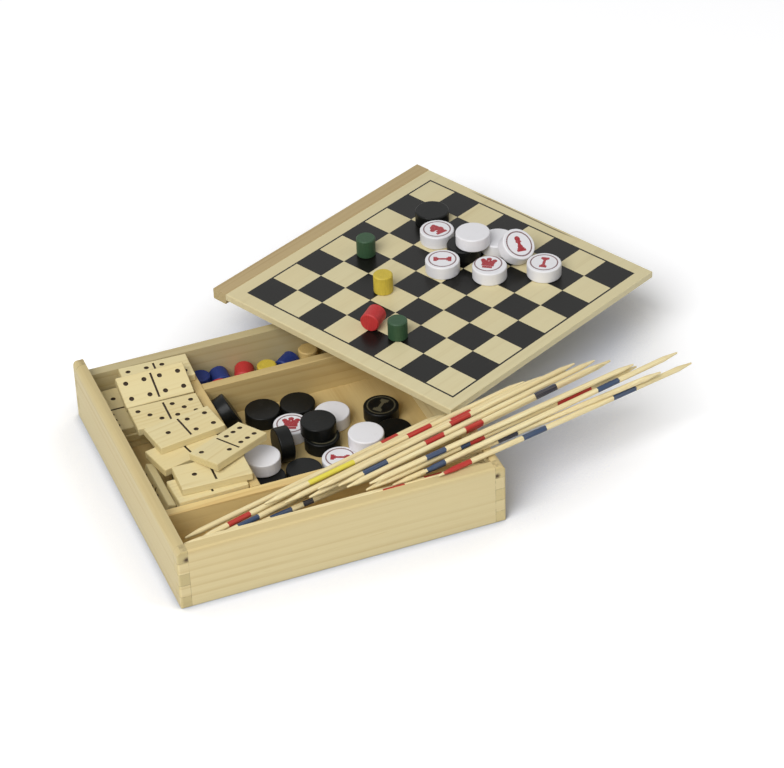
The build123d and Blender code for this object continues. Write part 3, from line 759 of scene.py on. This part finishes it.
class GAMESBOX_OT_men(bpy.types.Operator):
    """White and black lacquered men, some printed with a ring and a chess figure"""
    bl_idname = "gamesbox.men"
    bl_label = "Draughtsmen"

    def execute(self, context):
        ink, paint = context.scene.games_print, context.scene.games_paint
        white, black = paint.man_white, paint.man_black
        red, gold = (ink.red_ink, ink.ring_ink), (ink.gold_ink, ink.gold_ink)
        for name, prints in WHITE_PRINTS.items():
            below = FLOOR if name == "discs_white_main" else ON_LID
            self.man(name, [name], white, self.lying(prints, below), red, ink)
        for name, prints in BLACK_PRINTS.items():
            self.man(name, [name], black, self.lying(prints, FLOOR), gold, ink)
        self.man("men_white", ["disc_white_plain_low", "disc_white_plain_top", "disc_white_upper",
                               "disc_white_left"], white, [], red, ink)
        self.man("men_black", ["disc_black_lid_rear", "disc_black_lid_front", "disc_black_upper",
                               "disc_black_left", "disc_black_on_rim", "disc_black_leaning"],
                 black, [], gold, ink)
        self.man("disc_white_leaning", ["disc_white_leaning"], white,
                 [(self.leaning(), "pawn", 1.0)], red, ink)
        return {"FINISHED"}

    def man(self, label, nodes, base, prints, inks, ink):
        """One lacquer for these nodes, with its prints."""
        finish = Finish(label)
        shade = self.lacquer(finish, base)
        for place, figure, scale in prints:
            shade = self.stamp(finish, shade, finish.local(place), figure, scale, inks, ink)
        finish.surface(Base_Color=shade)
        finish.paint(*nodes)

    def lying(self, prints, below):
        """Frames, figures and scales of the prints of men that lie at this height."""
        return [(lay(x, y, below + MAN_T, heading - 90), figure, scale)
                for x, y, figure, heading, scale in prints]

    def leaning(self):
        """Frame of the print of the man that leans on another."""
        slant, heading = radians(LEAN_TILT), radians(LEAN_HEADING)
        reach = MAN_D / 2 + (MAN_T + TOUCH) * cos(slant) / sin(slant)
        place = lean(MAN_D / 2, PROPPER[0] - reach * cos(heading),
                     PROPPER[1] - reach * sin(heading), ON_LID + TOUCH, LEAN_HEADING, LEAN_TILT)
        return place @ at(0, 0, MAN_T) @ turn("Z", -105)

    def lacquer(self, finish, base):
        """Sprayed lacquer over turned wood: orange peel and scuffs."""
        where = finish.local()
        peel = finish.noise(where, (0.9, 0.9, 0.9), 3.0, 0.55)
        scuff = finish.noise(where, (0.25, 0.25, 0.5), 4.0, 0.65, 2.0)
        worn = finish.ease(scuff, 0.55, 0.8, 0.0, 0.35)
        pale = max(base) > 0.3
        shade = finish.blend(worn, tuple(base), (0.62, 0.60, 0.58) if pale else (0.03, 0.03, 0.03))
        finish.surface(Roughness=finish.math("MULTIPLY_ADD", scuff, 0.25, 0.28 if pale else 0.24),
                       Specular_IOR_Level=0.4 if pale else 0.16,
                       Coat_Weight=0.1 if pale else 0.02, Coat_Roughness=0.2)
        finish.bump(peel, 0.00004)
        return shade

    def stamp(self, finish, shade, where, figure, scale, inks, ink):
        """A ring and a figure printed on the upper face."""
        figure_ink, ring_ink = inks
        soft = finish.noise(where, (1.6, 1.6, 1.6), 2.0)
        where = finish.vector("ADD", where, finish.join(
            finish.math("MULTIPLY_ADD", soft, 0.3, -0.15),
            finish.math("MULTIPLY_ADD", soft, -0.3, 0.15), 0.0))
        flat = finish.vector("MULTIPLY", where, (1, 1, 0))
        on_face = finish.math("GREATER_THAN", finish.parts(where)[2], -0.12)
        off = finish.math("SUBTRACT", finish.vector("LENGTH", flat), ink.ring_radius / MM)
        ring = finish.ease(finish.math("ABSOLUTE", off), 0.28, 0.5, 1.0, 0.0)
        ring = finish.math("MULTIPLY", ring, finish.ease(soft, 0.2, 0.6, 0.6, 1.0))
        shade = finish.blend(finish.math("MULTIPLY", on_face, ring), shade, ring_ink)
        discs, bars = FIGURES[figure]
        flat = finish.vector("DIVIDE", flat, (scale, scale, 1.0))
        masks = []
        for x, y, radius in discs:
            masks.append(finish.math("LESS_THAN", finish.vector("DISTANCE", flat, (x, y, 0)), radius))
        for x, y, half_x, half_y in bars:
            offset = finish.vector("SUBTRACT", flat, (x, y, 0))
            masks.append(finish.inside(offset, (half_x, half_y, 1.0)))
        solid = finish.ease(soft, 0.15, 0.5, 0.7, 1.0)
        printed = finish.math("MULTIPLY", finish.either(masks), solid)
        return finish.blend(finish.math("MULTIPLY", on_face, printed), shade, figure_ink)


# ---------------------------------------------------------------- pegs
class GAMESBOX_OT_pegs(bpy.types.Operator):
    """Stained wooden pegs in the lid and the rear compartment"""
    bl_idname = "gamesbox.pegs"
    bl_label = "Pegs"

    nodes = {
        "green": ("peg_green_rear", "peg_green_front"),
        "yellow": ("peg_yellow", "peg_yellow_in_tray"),
        "red": ("peg_red", "pegs_red_in_tray"),
        "blue": ("pegs_blue_in_tray",),
        "plain": ("peg_plain_in_tray",),
    }

    def execute(self, context):
        paint = context.scene.games_paint
        for number, (stain, names) in enumerate(self.nodes.items()):
            finish = Finish("peg_" + stain)
            where = finish.local()
            base = tuple(getattr(paint, stain))
            grain = finish.noise(where, (1.6, 1.6, 0.15), 3.0, 0.6, number)
            patch = finish.noise(where, (0.14, 0.14, 0.14), 2.0, 0.5, number + 2.0)
            darker = dim(base, 0.62)
            shade = finish.blend(finish.ease(grain, 0.3, 0.75, 0.0, 0.55), base, darker)
            shade = finish.blend(finish.ease(patch, 0.4, 0.75, 0.0, 0.25), shade, darker)
            finish.surface(Base_Color=shade, Specular_IOR_Level=0.3,
                           Roughness=finish.math("MULTIPLY_ADD", grain, 0.2, 0.42))
            finish.bump(grain, 0.00008)
            finish.paint(*names)
        return {"FINISHED"}


# ---------------------------------------------------------------- sticks
# node: for each stick, its left tip, turn and tilt, and its painted bands from that tip.
STICKS = {
    "sticks_inner_low": [
        ((-78.4, -67.9, 25.7), 15.5, 0.0, [(125, 136, "red")]),
        ((-77.4, -76.3, 25.7), 13.5, 0.0, []),
        ((-78.3, -80.4, 25.7), 12.2, 0.0, [(46, 59, "blue"), (66, 72, "dark")])],
    "sticks_inner_high": [
        ((-74.4, -76.4, 29.05), 17.0, 0.0, [(19, 33, "red")]),
        ((-75.0, -81.2, 29.05), 16.6, 0.0, [(24, 37, "blue")])],
    "sticks_inner_front": [
        ((-82.5, -80.0, 32.2), 0.0, 0.0, [(131, 141, "red")]),
        ((-82.5, -83.2, 33.9), 0.0, 0.0, [(107, 119, "red")])],
    "sticks_outer_low": [
        ((53.9, -87.2, 38.1), 12.1, 0.5, [(3, 20, "red"), (53, 68, "blue"), (112, 127, "blue")]),
        ((30.6, -81.4, 35.15), 7.9, 3.0, [(19, 31, "blue"), (63, 75, "dark")]),
        ((16.9, -78.8, 34.45), 10.2, 3.0, [(11, 22, "red"), (118, 140, "red")])],
    "sticks_outer_mid": [
        ((13.4, -72.7, 34.25), 12.5, 3.0, [(69, 80, "red"), (115, 129, "dark")]),
        ((-11.5, -71.0, 33.05), 12.6, 3.0, [(33, 48, "blue")]),
        ((-24.8, -70.6, 33.35), 13.3, 2.5, [(105, 118, "red")]),
        ((-35.0, -68.1, 33.95), 12.7, 2.0, [(27, 55, "yellow"), (89, 104, "red")])],
    "sticks_outer_high": [
        ((45.4, -83.1, 39.35), 11.1, 3.0, [(4, 15, "blue"), (112, 126, "blue")]),
        ((20.5, -82.4, 38.05), 10.5, 3.0, [(52, 58, "blue"), (58, 67, "red"), (113, 135, "red")]),
        ((4.0, -73.1, 37.15), 12.6, 3.0, [(15, 30, "blue"), (54, 66, "red")]),
        ((-6.6, -70.6, 36.65), 12.6, 3.0, [(83, 96, "red")]),
        ((7.5, -76.2, 37.35), 12.2, 3.0, [(74, 85, "red"), (119, 133, "dark")])],
    "sticks_outer_top": [
        ((17.5, -82.8, 41.35), 10.0, 3.0, [(34, 46, "blue")])],
}


class GAMESBOX_OT_sticks(bpy.types.Operator):
    """Pale wooden pick-up sticks with painted bands"""
    bl_idname = "gamesbox.sticks"
    bl_label = "Pick-up sticks"

    def execute(self, context):
        wood, paint = context.scene.games_timber, context.scene.games_paint
        for number, (name, sticks) in enumerate(STICKS.items()):
            finish = Finish(name)
            frames = [at(*tip) @ turn("Z", yaw) @ turn("Y", -tilt) for tip, yaw, tilt, _ in sticks]
            along = finish.local(frames[0])
            fibre = finish.noise(along, (0.05, 2.4, 2.4), 3.0, 0.65, 80.0 + number)
            slow = finish.noise(along, (0.012, 0.12, 0.12), 2.0, 0.5, 90.0 + number)
            shade = finish.blend(finish.ease(fibre, 0.3, 0.8), wood.stick_light, wood.stick_dark)
            shade = finish.blend(finish.ease(slow, 0.4, 0.8, 0.0, 0.5), shade, wood.stick_dark)
            for place, (_, _, _, bands) in zip(frames, sticks):
                if bands:
                    shade = self.bands(finish, shade, finish.local(place), bands, fibre, paint)
            finish.surface(Base_Color=shade, Specular_IOR_Level=0.35,
                           Roughness=finish.math("MULTIPLY_ADD", fibre, 0.2, 0.45))
            finish.bump(fibre, 0.00008)
            finish.paint(name)
        return {"FINISHED"}

    def bands(self, finish, shade, where, bands, fibre, paint):
        """Painted bands on one stick, with uneven ends."""
        ragged = finish.noise(where, (0.1, 1.3, 1.3), 2.0)
        x = finish.math("ADD", finish.parts(where)[0], finish.math("MULTIPLY_ADD", ragged, 1.4, -0.7))
        from_axis = finish.vector("LENGTH", finish.vector("MULTIPLY", where, (0, 1, 1)))
        near = finish.math("LESS_THAN", from_axis, STICK_D / 2 + 0.12)
        cover = finish.math("MULTIPLY", near, finish.ease(fibre, 0.45, 0.8, 1.0, 0.8))
        for start, end, stain in bands:
            mask = finish.math("MULTIPLY", cover, finish.between(x, start, end))
            shade = finish.blend(mask, shade, getattr(paint, "band_" + stain))
        return shade


# ---------------------------------------------------------------- panel
OPERATORS = (GAMESBOX_OT_stage, GAMESBOX_OT_tray, GAMESBOX_OT_lid, GAMESBOX_OT_dominoes,
             GAMESBOX_OT_men, GAMESBOX_OT_pegs, GAMESBOX_OT_sticks)


class GAMESBOX_PT_panel(bpy.types.Panel):
    """Lists the settings and the steps that dress the games box"""
    bl_idname = "GAMESBOX_PT_panel"
    bl_label = "Games box"
    bl_space_type = "VIEW_3D"
    bl_region_type = "UI"
    bl_category = "Games box"

    def draw(self, context):
        """The steps first, then each group of settings."""
        for operator in OPERATORS:
            self.layout.operator(operator.bl_idname)
        for name, group in SETTINGS:
            box = self.layout.box()
            box.label(text=group.__doc__)
            for field in group.__annotations__:
                box.prop(getattr(context.scene, name), field)


def register():
    """Add the settings, the steps and the panel."""
    for name, group in SETTINGS:
        bpy.utils.register_class(group)
        setattr(bpy.types.Scene, name, bpy.props.PointerProperty(type=group))
    for made in (*OPERATORS, GAMESBOX_PT_panel):
        bpy.utils.register_class(made)


def unregister():
    """Take them away again."""
    for made in reversed((*OPERATORS, GAMESBOX_PT_panel)):
        bpy.utils.unregister_class(made)
    for name, group in reversed(SETTINGS):
        delattr(bpy.types.Scene, name)
        bpy.utils.unregister_class(group)


def main():
    """Run every step once."""
    register()
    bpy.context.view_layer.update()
    bpy.ops.gamesbox.stage()
    bpy.ops.gamesbox.tray()
    bpy.ops.gamesbox.lid()
    bpy.ops.gamesbox.dominoes()
    bpy.ops.gamesbox.men()
    bpy.ops.gamesbox.pegs()
    bpy.ops.gamesbox.sticks()


if __name__ == "__main__":
    main()
